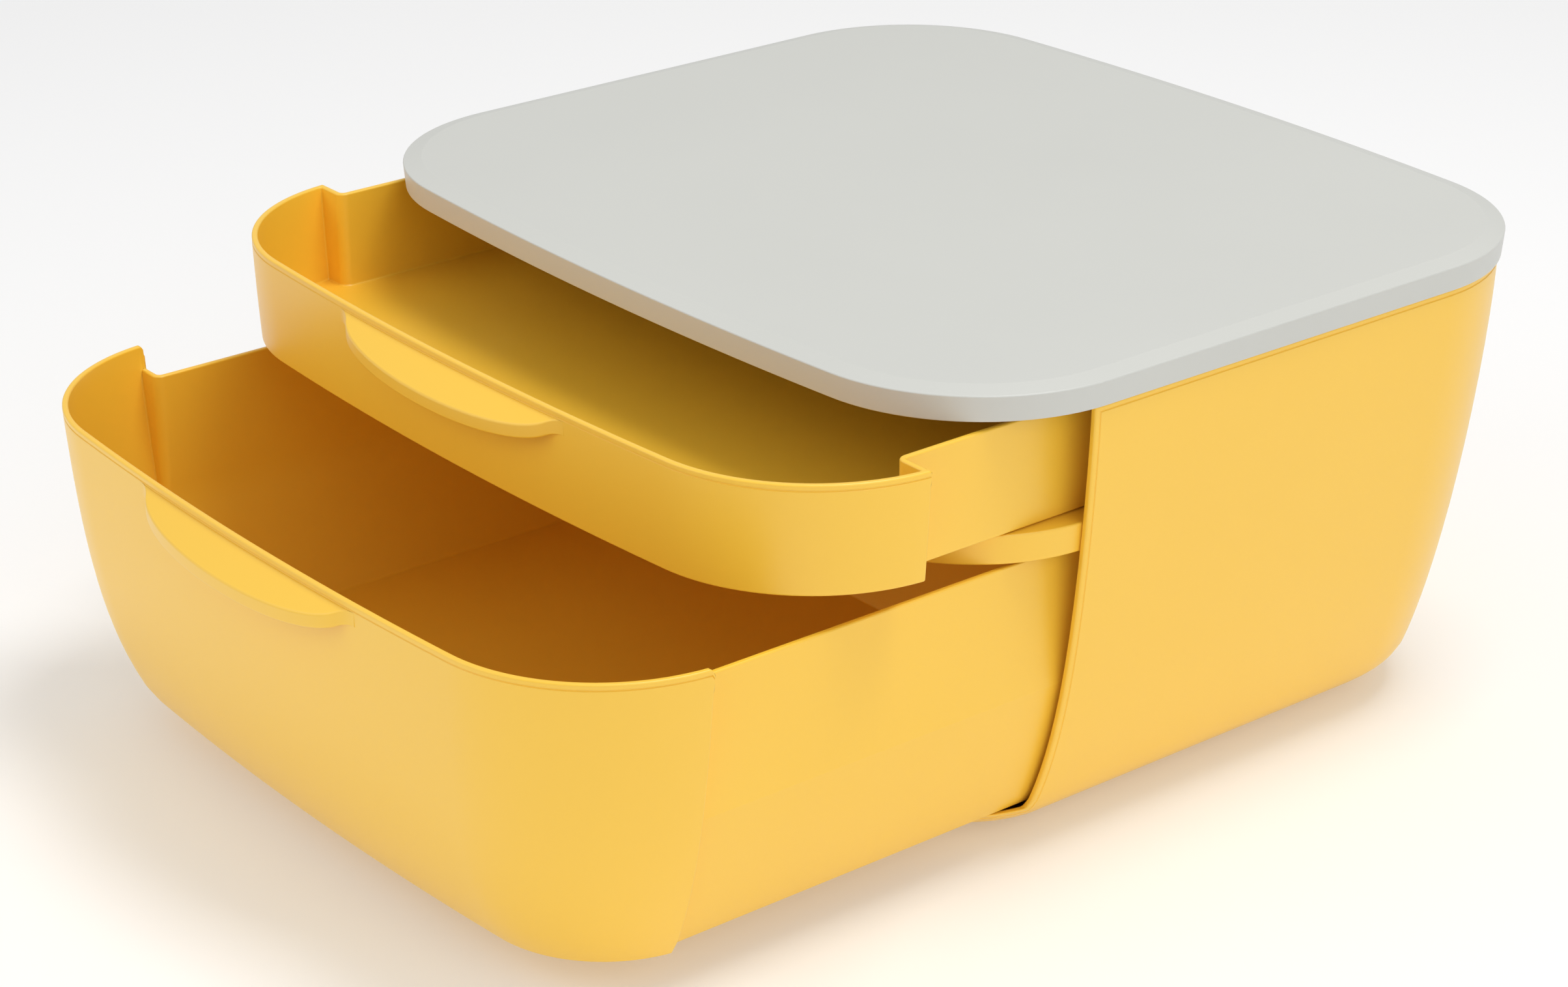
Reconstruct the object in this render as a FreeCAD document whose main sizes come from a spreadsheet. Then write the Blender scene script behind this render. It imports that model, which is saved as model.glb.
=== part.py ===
import FreeCAD, Part
import math
import os

import Sketcher

# Desktop file box with two drawers.
# Frame: +X right, +Y to the rear, +Z up, millimetres. The origin lies under the middle of the
# casing, on the surface that the feet stand on. The drawers are modelled partly open.

DIMENSIONS = (
    # plan outline, shared by the lid, the casing and both drawer fronts
    ("lid_width", 380.0),
    ("lid_depth", 326.4),
    ("bow_radius", 1660.0),
    ("lid_corner", 71.25),
    # lid
    ("lid_edge_height", 9.8),
    ("lid_band_width", 7.5),
    ("lid_crown", 1.8),
    ("lid_undercut", 0.85),
    ("lid_wall", 2.8),
    ("skirt_depth", 2.5),
    ("skirt_wall", 2.0),
    # tub shape of the casing and the drawer fronts: how far each side, the front, the rear and
    # the corner radius draw in from rim to base, in a slow taper, a late curl and a base round
    ("tub_height", 183.0),
    ("tub_inset", 2.1),
    ("tub_wall", 2.7),
    ("taper_power", 1.5),
    ("side_taper", 20.0),
    ("front_taper", 8.1),
    ("rear_taper", 18.4),
    ("corner_taper", 5.3),
    ("curl_power", 5.3),
    ("side_curl", 15.9),
    ("front_curl", 25.8),
    ("rear_curl", 6.5),
    ("corner_curl", 24.5),
    ("base_round", 19.5),
    ("side_round", 19.5),
    ("front_round", 24.3),
    ("rear_round", 34.9),
    ("corner_round", 9.2),
    # open front of the casing
    ("front_cut", 92.5),
    ("sill_rise", 11.7),
    ("floor_rib_width", 3.0),
    ("floor_rib_spacing", 180.0),
    ("floor_rib_length", 160.0),
    # shelf between the drawers
    ("shelf_drop", 45.4),
    ("shelf_plate", 2.5),
    ("shelf_lip_height", 11.6),
    ("shelf_lip_wall", 2.5),
    ("ledge_thickness", 3.0),
    ("ledge_rear", 120.0),
    ("guide_height", 5.0),
    ("guide_width", 2.5),
    ("guide_front", 60.0),
    ("guide_rear", 105.0),
    # drawers
    ("drawer_wall", 2.4),
    ("drawer_floor", 2.4),
    ("upper_rim_drop", 3.5),
    ("upper_tray_inset", 16.5),
    ("upper_opening", 73.6),
    ("lower_rim_drop", 49.7),
    ("lower_side_drop", 58.9),
    ("lower_tray_inset", 18.0),
    ("lower_opening", 162.9),
    ("rim_end_radius", 6.0),
    ("full_travel", 200.0),
    ("stop_length", 6.0),
    ("lower_stop_rise", 5.4),
    ("upper_stop_rise", 2.4),
    ("stop_rib_depth", 2.0),
    ("stop_rib_thickness", 3.0),
    # handle lip under each drawer rim
    ("handle_width", 130.0),
    ("handle_reach", 11.5),
    ("handle_start", 2.8),
    ("handle_slope_drop", 8.0),
    ("handle_edge", 5.3),
    ("handle_wall", 2.4),
    ("handle_cover", 0.2),
    ("handle_sink", 0.6),
    # running and fitting clearances
    ("front_gap", 0.5),
    ("slide_gap", 0.4),
    ("tray_gap", 2.4),
    ("guide_gap", 0.8),
    ("shelf_gap", 0.4),
    ("skirt_gap", 0.4),
    ("hole_gap", 0.1),
    # feet
    ("foot_diameter", 18.0),
    ("foot_stand", 2.0),
    ("foot_recess", 1.0),
    ("foot_gap", 0.2),
    ("foot_spacing", 216.0),
    ("front_foot_offset", 86.0),
    ("rear_foot_offset", 72.0),
    # screws, their lugs and bosses
    ("screw_shank", 3.0),
    ("screw_length", 9.0),
    ("screw_head", 5.6),
    ("screw_head_height", 2.0),
    ("boss_diameter", 6.4),
    ("lug_thickness", 3.0),
    ("lug_length", 10.0),
    ("lug_drop", 4.0),
    ("lid_screw_inset", 11.0),
    ("shelf_screw_inset", 12.8),
    ("front_screw_offset", 55.0),
    ("rear_screw_offset", 84.0),
)

SIDES = (("left", -1), ("right", 1))

doc = FreeCAD.newDocument("file_box")
sheet = doc.addObject("Spreadsheet::Sheet", "dims")


def fill_sheet():
    """One row per driving dimension: its name, and its value under an alias of that name."""
    for row, (alias, size) in enumerate(DIMENSIONS, start=1):
        sheet.set("A%d" % row, alias)
        sheet.set("B%d" % row, str(size))
        sheet.setAlias("B%d" % row, alias)
    doc.recompute()


fill_sheet()

layout = doc.addObject("App::VarSet", "layout")


def place(name, expression):
    """A height or distance that several pieces share, worked out from the sheet."""
    layout.addProperty("App::PropertyFloat", name, "Places")
    layout.setExpression(name, expression)
    return "layout." + name


place("HalfWidth", "dims.lid_width / 2")
place("HalfDepth", "dims.lid_depth / 2")
place("BaseZ", "dims.foot_stand")
rim_z = place("RimZ", "layout.BaseZ + dims.tub_height")
place("FloorZ", "layout.BaseZ + dims.tub_wall")
sill_z = place("SillZ", "layout.FloorZ + dims.sill_rise")
lid_top_z = place("LidTopZ", "layout.RimZ + dims.lid_edge_height + dims.lid_crown")
cut_y = place("CutY", "-dims.front_cut")
panel_y = place("PanelY", "layout.CutY - dims.front_gap")
shelf_top_z = place("ShelfTopZ", "layout.RimZ - dims.shelf_drop")
shelf_under_z = place("ShelfUnderZ", "layout.ShelfTopZ - dims.shelf_plate")
ledge_top_z = place("LedgeTopZ", "layout.ShelfTopZ - dims.shelf_lip_height")
upper_rim_z = place("UpperRimZ", "layout.RimZ - dims.upper_rim_drop")
upper_base_z = place("UpperBaseZ", "layout.ShelfTopZ + dims.slide_gap")
lower_rim_z = place("LowerRimZ", "layout.RimZ - dims.lower_rim_drop")
lower_side_z = place("LowerSideZ", "layout.RimZ - dims.lower_side_drop")
lower_base_z = place("LowerBaseZ", "layout.SillZ + dims.slide_gap")
upper_tray_half = place("UpperTrayHalf", "layout.HalfWidth - dims.upper_tray_inset")
lower_tray_half = place("LowerTrayHalf", "layout.HalfWidth - dims.lower_tray_inset")
lug_top_z = place("LugTopZ", "layout.RimZ - dims.lug_drop")
beyond = place("Beyond", "dims.lid_width")
doc.recompute()


# ---------------------------------------------------------------- plan sections and lofts

def add_numbers(name, numbers):
    """A set of named numbers, each bound to an expression."""
    numbers_set = doc.addObject("App::VarSet", name)
    for key, expression in numbers.items():
        numbers_set.addProperty("App::PropertyFloat", key, "Section")
        numbers_set.setExpression(key, expression)
    doc.recompute()
    return numbers_set


def plan_section(name, numbers):
    """A closed plan outline: straight sides, bowed front and rear, four tangent corners."""
    section = add_numbers(name + "_numbers", numbers)
    half = section.HalfWidth
    corner = section.Corner
    bow = float(sheet.get("bow_radius"))
    front_centre = bow - section.Front
    rear_centre = bow - section.Rear
    reach = half - corner
    front_y = math.sqrt((bow - corner) ** 2 - reach ** 2) - front_centre
    rear_y = math.sqrt((bow - corner) ** 2 - reach ** 2) - rear_centre
    front_angle = math.atan2(-(front_y + front_centre), reach)
    rear_angle = math.atan2(rear_y + rear_centre, reach)

    sketch = doc.addObject("Sketcher::SketchObject", name)

    def arc(x, y, radius, start, end):
        centre = FreeCAD.Vector(x, y, 0)
        circle = Part.Circle(centre, FreeCAD.Vector(0, 0, 1), radius)
        return sketch.addGeometry(Part.ArcOfCircle(circle, start, end), False)

    def line(x, y_start, y_end):
        start = FreeCAD.Vector(x, y_start, 0)
        return sketch.addGeometry(Part.LineSegment(start, FreeCAD.Vector(x, y_end, 0)), False)

    front = arc(0, front_centre, bow, -math.pi - front_angle, front_angle)
    front_right = arc(reach, -front_y, corner, front_angle, 0)
    right = line(half, -front_y, rear_y)
    rear_right = arc(reach, rear_y, corner, 0, rear_angle)
    rear = arc(0, -rear_centre, bow, rear_angle, math.pi - rear_angle)
    rear_left = arc(-reach, rear_y, corner, math.pi - rear_angle, math.pi)
    left = line(-half, rear_y, -front_y)
    front_left = arc(-reach, -front_y, corner, math.pi, math.pi - front_angle)

    loop = (front, front_right, right, rear_right, rear, rear_left, left, front_left)
    for this_edge, next_edge in zip(loop, loop[1:] + loop[:1]):
        sketch.addConstraint(Sketcher.Constraint("Tangent", this_edge, 2, next_edge, 1))
    sketch.addConstraint(Sketcher.Constraint("Vertical", right))
    sketch.addConstraint(Sketcher.Constraint("Vertical", left))
    sketch.addConstraint(Sketcher.Constraint("PointOnObject", front, 3, -2))
    sketch.addConstraint(Sketcher.Constraint("PointOnObject", rear, 3, -2))
    for other in (rear_right, rear_left, front_left):
        sketch.addConstraint(Sketcher.Constraint("Equal", front_right, other))
    sketch.addConstraint(Sketcher.Constraint("Equal", front, rear))

    def bind(constraint, expression):
        index = sketch.addConstraint(constraint)
        sketch.setExpression("Constraints[%d]" % index, expression)

    origin = (-1, 1)
    bind(Sketcher.Constraint("Radius", front, bow), "dims.bow_radius")
    bind(Sketcher.Constraint("Radius", front_right, corner), section.Name + ".Corner")
    bind(Sketcher.Constraint("DistanceX", *origin, right, 1, half), section.Name + ".HalfWidth")
    bind(Sketcher.Constraint("DistanceX", left, 1, *origin, half), section.Name + ".HalfWidth")
    bind(Sketcher.Constraint("DistanceY", *origin, front, 3, front_centre),
         "dims.bow_radius - %s.Front" % section.Name)
    bind(Sketcher.Constraint("DistanceY", rear, 3, *origin, rear_centre),
         "dims.bow_radius - %s.Rear" % section.Name)
    sketch.setExpression("Placement.Base.z", section.Name + ".Level")
    return sketch


def loft(name, sections, ruled=False):
    body = doc.addObject("Part::Loft", name)
    body.Sections = sections
    body.Solid = True
    body.Ruled = ruled
    return body


WALL_STATIONS = (0, 0.3, 0.55, 0.75, 0.9, 1)
ROUND_STATIONS = (0, 22.5, 45, 67.5, 90)


def tub_numbers(offset, drop, angle="0"):
    """The plan outline of the tub at a depth under its rim, moved inwards by an offset; the
    angle is how far round the curve into the base the outline lies."""
    numbers = {"Level": "layout.RimZ - %s" % drop}
    full_sizes = (("HalfWidth", "layout.HalfWidth", "side"), ("Front", "layout.HalfDepth", "front"),
                  ("Rear", "layout.HalfDepth", "rear"), ("Corner", "dims.lid_corner", "corner"))
    for key, full_size, part in full_sizes:
        terms = {"full": full_size, "part": part, "offset": offset, "drop": drop, "angle": angle}
        numbers[key] = (
            "{full} - dims.tub_inset - {offset}"
            " - dims.{part}_taper * pow({drop} / dims.tub_height; dims.taper_power)"
            " - dims.{part}_curl * pow({drop} / dims.tub_height; dims.curl_power)"
            " - (dims.{part}_round - {offset}) * (1 - cos({angle} deg))".format(**terms))
    return numbers


def tub_wall_loft(name, offset):
    """The upper part of the tub, whose wall curves inwards as it goes down."""
    sections = []
    for index, fraction in enumerate(WALL_STATIONS):
        drop = "((dims.tub_height - dims.base_round) * %s)" % fraction
        section_name = "%s_wall_%d" % (name, index)
        sections.append(plan_section(section_name, tub_numbers(offset, drop)))
    return loft(name + "_wall", sections), sections[-1]


def tub_loft(name, offset):
    """The whole tub moved inwards by an offset: the wall, then a quarter round into the base."""
    wall, lowest = tub_wall_loft(name, offset)
    sections = [lowest]
    for index, angle in enumerate(ROUND_STATIONS[1:], start=1):
        drop = ("(dims.tub_height - dims.base_round + (dims.base_round - %s) * sin(%s deg))"
                % (offset, angle))
        section_name = "%s_round_%d" % (name, index)
        sections.append(plan_section(section_name, tub_numbers(offset, drop, angle)))
    return fuse(name, [wall, loft(name + "_round", sections)], refine=False)


def flat_section(name, inset, level):
    """The plan outline moved inwards by one inset all round."""
    numbers = {
        "Level": level,
        "HalfWidth": "layout.HalfWidth - (%s)" % inset,
        "Front": "layout.HalfDepth - (%s)" % inset,
        "Rear": "layout.HalfDepth - (%s)" % inset,
        "Corner": "dims.lid_corner - (%s)" % inset,
    }
    return plan_section(name, numbers)


# ---------------------------------------------------------------- primitives and booleans

def box(name, x_range, y_range, z_range):
    """A box between pairs of expressions."""
    solid = doc.addObject("Part::Box", name)
    for size, axis, (low, high) in (("Length", "x", x_range), ("Width", "y", y_range),
                                    ("Height", "z", z_range)):
        solid.setExpression(size, "(%s) - (%s)" % (high, low))
        solid.setExpression("Placement.Base." + axis, low)
    return solid


def side_range(side, near, far):
    """The same stretch of X on the right or, mirrored, on the left."""
    if side > 0:
        return (near, far)
    return ("-(%s)" % far, "-(%s)" % near)


def post(name, diameter, position, z_range):
    """An upright round solid."""
    solid = doc.addObject("Part::Cylinder", name)
    solid.setExpression("Radius", "(%s) / 2" % diameter)
    solid.setExpression("Height", "(%s) - (%s)" % (z_range[1], z_range[0]))
    solid.setExpression("Placement.Base.x", position[0])
    solid.setExpression("Placement.Base.y", position[1])
    solid.setExpression("Placement.Base.z", z_range[0])
    return solid


def fuse(name, shapes, refine=True):
    solid = doc.addObject("Part::MultiFuse", name)
    solid.Shapes = shapes
    solid.Refine = refine
    return solid


def common(name, shapes):
    solid = doc.addObject("Part::MultiCommon", name)
    solid.Shapes = shapes
    return solid


def cut(name, base, tool):
    solid = doc.addObject("Part::Cut", name)
    solid.Base = base
    solid.Tool = tool
    return solid


ALL_X = ("-" + beyond, beyond)
ALL_Z = ("-" + beyond, beyond)

outer_tub = tub_loft("outer_tub", "0")
inner_tub = tub_loft("inner_tub", "dims.tub_wall")
shelf_tub = tub_wall_loft("shelf_tub", "(dims.tub_wall + dims.shelf_gap)")[0]
shelf_inner_tub = tub_wall_loft("shelf_inner_tub",
                                "(dims.tub_wall + dims.shelf_gap + dims.shelf_lip_wall)")[0]
tray_tub = tub_loft("tray_tub", "(dims.tub_wall + dims.tray_gap)")
tray_inner_tub = tub_loft("tray_inner_tub",
                          "(dims.tub_wall + dims.tray_gap + dims.drawer_wall)")

FEET = (
    ("foot_front_left", -1, "-dims.front_foot_offset"),
    ("foot_front_right", 1, "-dims.front_foot_offset"),
    ("foot_rear_left", -1, "dims.rear_foot_offset"),
    ("foot_rear_right", 1, "dims.rear_foot_offset"),
)


def foot_position(side, offset):
    return ("%d * dims.foot_spacing / 2" % side, offset)


def screw_positions(inset):
    """Two screws on each side, measured in from the side of the lid."""
    places = []
    for side_name, side in SIDES:
        for end_name, offset in (("front", "-dims.front_screw_offset"),
                                 ("rear", "dims.rear_screw_offset")):
            x = "%d * (layout.HalfWidth - %s)" % (side, inset)
            places.append(("%s_%s" % (end_name, side_name), side, (x, offset)))
    return places


# ---------------------------------------------------------------- casing

def make_casing():
    front_opening = box("front_opening", ALL_X, ("-" + beyond, cut_y), (sill_z, beyond))
    hollow = cut("casing_walls", outer_tub, inner_tub)
    shell = cut("open_shell", hollow, front_opening)

    additions = [shell]
    for side_name, side in SIDES:
        # ledge that carries the shelf, merged with the side wall
        ledge_x = side_range(side, "(layout.LowerTrayHalf + dims.tray_gap)",
                             "(layout.HalfWidth - dims.tub_inset)")
        ledge = box("ledge_" + side_name, ledge_x, (cut_y, "dims.ledge_rear"),
                    ("layout.LedgeTopZ - dims.ledge_thickness", ledge_top_z))
        additions.append(common("ledge_in_wall_" + side_name, [ledge, outer_tub]))
        # rib on the floor that the lower drawer slides on
        rib_x = side_range(side, "(dims.floor_rib_spacing - dims.floor_rib_width) / 2",
                           "(dims.floor_rib_spacing + dims.floor_rib_width) / 2")
        rib = box("floor_rib_" + side_name, rib_x,
                  ("-dims.floor_rib_length / 2", "dims.floor_rib_length / 2"),
                  ("layout.BaseZ + dims.tub_wall / 2", sill_z))
        additions.append(rib)
    for name, side, position in screw_positions("dims.lid_screw_inset"):
        # lug under the lid's boss, merged with the side wall
        lug_x = side_range(side, "(layout.UpperTrayHalf + dims.tray_gap)",
                           "(layout.HalfWidth - dims.tub_inset)")
        lug_y = ("%s - dims.lug_length / 2" % position[1], "%s + dims.lug_length / 2" % position[1])
        lug = box("lug_" + name, lug_x, lug_y,
                  ("layout.LugTopZ - dims.lug_thickness", lug_top_z))
        additions.append(common("lug_in_wall_" + name, [lug, outer_tub]))
    solid = fuse("casing_body", additions)

    holes = []
    hole_size = "dims.screw_shank + 2 * dims.hole_gap"
    for name, side, position in screw_positions("dims.lid_screw_inset"):
        holes.append(post("lug_hole_" + name, hole_size, position,
                          ("layout.LugTopZ - 2 * dims.lug_thickness", rim_z)))
    for name, side, position in screw_positions("dims.shelf_screw_inset"):
        holes.append(post("ledge_hole_" + name, hole_size, position,
                          ("layout.LedgeTopZ - 2 * dims.ledge_thickness",
                           "layout.LedgeTopZ + dims.ledge_thickness")))
    for name, side, offset in FEET:
        holes.append(post(name + "_recess", "dims.foot_diameter + 2 * dims.foot_gap",
                          foot_position(side, offset),
                          ("0", "layout.BaseZ + dims.foot_recess")))
    return cut("casing", solid, fuse("casing_holes", holes))


# ---------------------------------------------------------------- lid

def make_lid():
    edge_z = "layout.RimZ + dims.lid_edge_height"
    shape = loft("lid_shape", [
        flat_section("lid_bottom_outline", "dims.lid_undercut", rim_z),
        flat_section("lid_crease_outline", "0", edge_z),
        flat_section("lid_top_outline", "dims.lid_band_width", lid_top_z),
    ], ruled=True)
    hollow_z = "layout.RimZ + dims.lid_edge_height + dims.lid_crown - dims.lid_wall"
    hollow = loft("lid_hollow", [
        flat_section("lid_hollow_mouth", "dims.lid_undercut + dims.lid_wall", rim_z),
        flat_section("lid_hollow_roof", "dims.lid_undercut + dims.lid_wall", hollow_z),
    ], ruled=True)
    cover = cut("lid_cover", shape, hollow)

    # locating skirt inside the casing's rim, along the sides and the rear
    skirt_foot = "layout.RimZ - dims.skirt_depth"
    skirt_inset = "dims.tub_inset + dims.tub_wall + dims.skirt_gap"
    skirt_shape = loft("skirt_shape", [
        flat_section("skirt_foot_outline", skirt_inset, skirt_foot),
        flat_section("skirt_head_outline", skirt_inset, hollow_z),
    ], ruled=True)
    skirt_hollow = loft("skirt_hollow", [
        flat_section("skirt_inner_foot", skirt_inset + " + dims.skirt_wall", skirt_foot),
        flat_section("skirt_inner_head", skirt_inset + " + dims.skirt_wall", hollow_z),
    ], ruled=True)
    skirt_part = box("skirt_part", ALL_X, ("layout.CutY + dims.lug_length", beyond), ALL_Z)
    skirt = common("skirt", [cut("skirt_ring", skirt_shape, skirt_hollow), skirt_part])

    additions = [cover, skirt]
    for name, side, position in screw_positions("dims.lid_screw_inset"):
        additions.append(post("lid_boss_" + name, "dims.boss_diameter", position,
                              (lug_top_z, "layout.LidTopZ - dims.lid_wall / 2")))
    for side_name, side in SIDES:
        # rib that catches the stop of the upper drawer
        rib_x = side_range(side, "(layout.UpperTrayHalf - 3 * dims.drawer_wall)",
                           "(layout.UpperTrayHalf + dims.drawer_wall)")
        additions.append(box("stop_rib_" + side_name, rib_x,
                             (cut_y, "layout.CutY + dims.stop_rib_thickness"),
                             ("layout.RimZ - dims.stop_rib_depth",
                              "layout.LidTopZ - dims.lid_wall / 2")))
    solid = fuse("lid_body", additions)
    pilots = []
    for name, side, position in screw_positions("dims.lid_screw_inset"):
        pilots.append(post("lid_pilot_" + name, "dims.screw_shank + 2 * dims.hole_gap", position,
                           ("layout.LugTopZ - dims.lug_thickness",
                            "layout.LugTopZ + dims.screw_length - dims.lug_thickness")))
    return cut("lid", solid, fuse("lid_pilots", pilots))


# ---------------------------------------------------------------- shelf

def make_shelf():
    slab = box("shelf_slab", ALL_X, ("-" + beyond, beyond), (ledge_top_z, shelf_top_z))
    slab_hollow = box("shelf_under_space", ALL_X, ("-" + beyond, beyond),
                      ("layout.LedgeTopZ - dims.shelf_plate", shelf_under_z))
    body = common("shelf_block", [shelf_tub, slab])
    hollow = common("shelf_hollow", [shelf_inner_tub, slab_hollow])
    tray = cut("shelf_plate_and_lip", body, hollow)

    additions = [tray]
    for side_name, side in SIDES:
        guide_x = side_range(side, "(layout.UpperTrayHalf + dims.guide_gap)",
                             "(layout.UpperTrayHalf + dims.guide_gap + dims.guide_width)")
        additions.append(box("shelf_guide_" + side_name, guide_x,
                             ("-dims.guide_front", "dims.guide_rear"),
                             (shelf_under_z, "layout.ShelfTopZ + dims.guide_height")))
    for name, side, position in screw_positions("dims.shelf_screw_inset"):
        additions.append(post("shelf_boss_" + name, "dims.boss_diameter", position,
                              (ledge_top_z, "layout.ShelfTopZ - dims.shelf_plate / 2")))
    solid = fuse("shelf_body", additions)
    pilots = []
    for name, side, position in screw_positions("dims.shelf_screw_inset"):
        pilots.append(post("shelf_pilot_" + name, "dims.screw_shank + 2 * dims.hole_gap",
                           position, ("layout.LedgeTopZ - dims.ledge_thickness",
                                      "layout.LedgeTopZ + dims.screw_length"
                                      " - dims.ledge_thickness")))
    return cut("shelf", solid, fuse("shelf_pilots", pilots))


# ---------------------------------------------------------------- drawers

def make_handle(name, rim):
    """A flared lip under the rim: a slope that leaves the front at a straight line and ends in
    an edge of constant height, half an ellipse in plan, hollow underneath for the fingers."""
    label = name + "_numbers"
    face = add_numbers(name + "_face", tub_numbers("0", "(layout.RimZ - %s)" % rim))
    numbers = add_numbers(label, {
        "FaceY": "-%s.Front" % face.Name,
        # how far the bow of the front falls back at the ends of the lip, which lie just inside it
        "Bow": "pow(dims.handle_width / 2; 2) / (2 * dims.bow_radius) + dims.handle_sink",
        "Slope": "atan(dims.handle_slope_drop / dims.handle_reach)",
    })

    def lip(part, wall):
        outline = doc.addObject("Part::Ellipse", part + "_outline")
        outline.setExpression("MajorRadius", "dims.handle_width / 2 - %s" % wall)
        outline.setExpression("MinorRadius", "dims.handle_reach + %s.Bow - %s" % (label, wall))
        outline.setExpression("Placement.Base.y", "{label}.FaceY + {label}.Bow".format(label=label))
        crescent = doc.addObject("Part::Extrusion", part + "_crescent")
        crescent.Base = outline
        crescent.DirMode = "Custom"
        crescent.Dir = FreeCAD.Vector(0, 0, 1)
        crescent.Solid = True
        crescent.setExpression("LengthFwd", beyond)
        # slab between two parallel slopes, turned about a line across the front's face
        terms = {"label": label, "rim": rim, "wall": wall}
        thickness = "((dims.handle_edge + {wall}) * cos({label}.Slope))".format(**terms)
        terms["thickness"] = thickness
        slope = doc.addObject("Part::Box", part + "_slope")
        slope.setExpression("Length", "2 * dims.handle_width")
        slope.setExpression("Width", "dims.handle_width")
        slope.setExpression("Height", thickness)
        slope.Placement.Rotation = FreeCAD.Rotation(FreeCAD.Vector(1, 0, 0), numbers.Slope)
        slope.setExpression("Placement.Rotation.Angle", label + ".Slope")
        slope.setExpression("Placement.Base.x", "-dims.handle_width")
        slope.setExpression("Placement.Base.y",
                            "{label}.FaceY - dims.handle_width / 2 * cos({label}.Slope)"
                            " + {thickness} * sin({label}.Slope)".format(**terms))
        slope.setExpression("Placement.Base.z",
                            "{rim} - dims.handle_start - {wall}"
                            " - dims.handle_width / 2 * sin({label}.Slope)"
                            " - {thickness} * cos({label}.Slope)".format(**terms))
        root = box(part + "_root", ALL_X,
                   ("-" + beyond, "%s.FaceY + dims.drawer_wall - dims.handle_cover" % label), ALL_Z)
        return common(part, [crescent, slope, root])

    outside = lip(name + "_outside", "0")
    inside = lip(name + "_inside", "dims.handle_wall")
    return cut(name, outside, inside)


def rounded_rim_end(name, rim):
    """What is cut off both ends of the raised front rim to round them."""
    corner_y = "layout.PanelY - dims.rim_end_radius"
    corner_z = "(%s) - dims.rim_end_radius" % rim
    block = box(name + "_block", ALL_X, (corner_y, "layout.PanelY + dims.rim_end_radius"),
                (corner_z, "(%s) + dims.rim_end_radius" % rim))
    rod = doc.addObject("Part::Cylinder", name + "_rod")
    rod.setExpression("Radius", "dims.rim_end_radius")
    rod.setExpression("Height", "2 * " + beyond)
    rod.Placement.Rotation = FreeCAD.Rotation(FreeCAD.Vector(0, 1, 0), 90)
    rod.setExpression("Placement.Base.x", "-" + beyond)
    rod.setExpression("Placement.Base.y", corner_y)
    rod.setExpression("Placement.Base.z", corner_z)
    return cut(name, block, rod)


def make_drawer(name, rim, side_rim, base, half, stop_top, stop_y):
    """A wrap-round front that ends at the casing's opening, with a narrower tray behind it."""
    part = name + "_"
    step_y = "layout.PanelY - dims.drawer_wall"
    floor = "(%s) + dims.drawer_floor" % base
    inner_half = half + " - dims.drawer_wall"

    front_space = box(part + "front_space", ALL_X, ("-" + beyond, panel_y), (base, rim))
    front = common(part + "front_block", [outer_tub, front_space])
    tray_space = box(part + "tray_space", ("-" + half, half), (step_y, beyond), (base, side_rim))
    tray = common(part + "tray_block", [tray_tub, tray_space])
    outside = fuse(part + "outside", [front, tray])

    front_room = box(part + "front_room", ALL_X, ("-" + beyond, step_y), (floor, beyond))
    tray_room = box(part + "tray_room", ("-(%s)" % inner_half, inner_half),
                    ("layout.PanelY - 2 * dims.drawer_wall", beyond), (floor, beyond))
    hollows = [
        common(part + "front_hollow", [inner_tub, front_room]),
        common(part + "tray_hollow", [tray_inner_tub, tray_room]),
    ]
    if rim != side_rim:
        above_side = box(part + "above_side", ALL_X,
                         ("layout.PanelY - 2 * dims.drawer_wall", beyond), (side_rim, beyond))
        hollows.append(common(part + "end_hollow", [inner_tub, above_side]))
        hollows.append(rounded_rim_end(part + "rim_end", rim))
    shell = cut(part + "shell", outside, fuse(part + "hollow", hollows))

    additions = [shell, make_handle(part + "handle", rim)]
    for side_name, side in SIDES:
        # stop: a short stretch of the tray's wall that stands above its rim
        stop_space = box(part + "stop_space_" + side_name, side_range(side, half + " / 2", half),
                         (stop_y, "%s + dims.stop_length" % stop_y),
                         ("(%s) - dims.stop_length" % side_rim, stop_top))
        stop_block = common(part + "stop_block_" + side_name, [stop_space, tray_tub])
        additions.append(cut(part + "stop_" + side_name, stop_block, hollows[1]))
    return fuse(name, additions)


def make_upper_drawer():
    stop_y = "layout.CutY + dims.stop_rib_thickness + dims.full_travel"
    drawer = make_drawer("upper_drawer", upper_rim_z, upper_rim_z, upper_base_z,
                         upper_tray_half, "layout.UpperRimZ + dims.upper_stop_rise",
                         stop_y)
    drawer.setExpression("Placement.Base.y", "-dims.upper_opening")
    return drawer


def make_lower_drawer():
    # the stop meets the inside of the shelf's lip, which curves back towards the sides
    lip = add_numbers("shelf_lip", tub_numbers(
        "(dims.tub_wall + dims.shelf_gap + dims.shelf_lip_wall)",
        "(dims.shelf_drop + dims.shelf_lip_height)"))
    numbers = add_numbers("shelf_lip_numbers", {
        "CornerX": "%s.HalfWidth - %s.Corner" % (lip.Name, lip.Name),
        "CornerY": "sqrt(pow(dims.bow_radius - {lip}.Corner; 2) - pow(shelf_lip_numbers.CornerX; 2))"
                   " - dims.bow_radius + {lip}.Front".format(lip=lip.Name),
        "Side": "layout.LowerTrayHalf - shelf_lip_numbers.CornerX",
        "LipY": "-shelf_lip_numbers.CornerY"
                " - sqrt(pow(%s.Corner; 2) - pow(shelf_lip_numbers.Side; 2))" % lip.Name,
    })
    stop_y = "%s.LipY + dims.full_travel" % numbers.Name
    drawer = make_drawer("lower_drawer", lower_rim_z, lower_side_z, lower_base_z,
                         lower_tray_half, "layout.LowerSideZ + dims.lower_stop_rise",
                         stop_y)
    drawer.setExpression("Placement.Base.y", "-dims.lower_opening")
    return drawer


# ---------------------------------------------------------------- feet and screws

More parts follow.
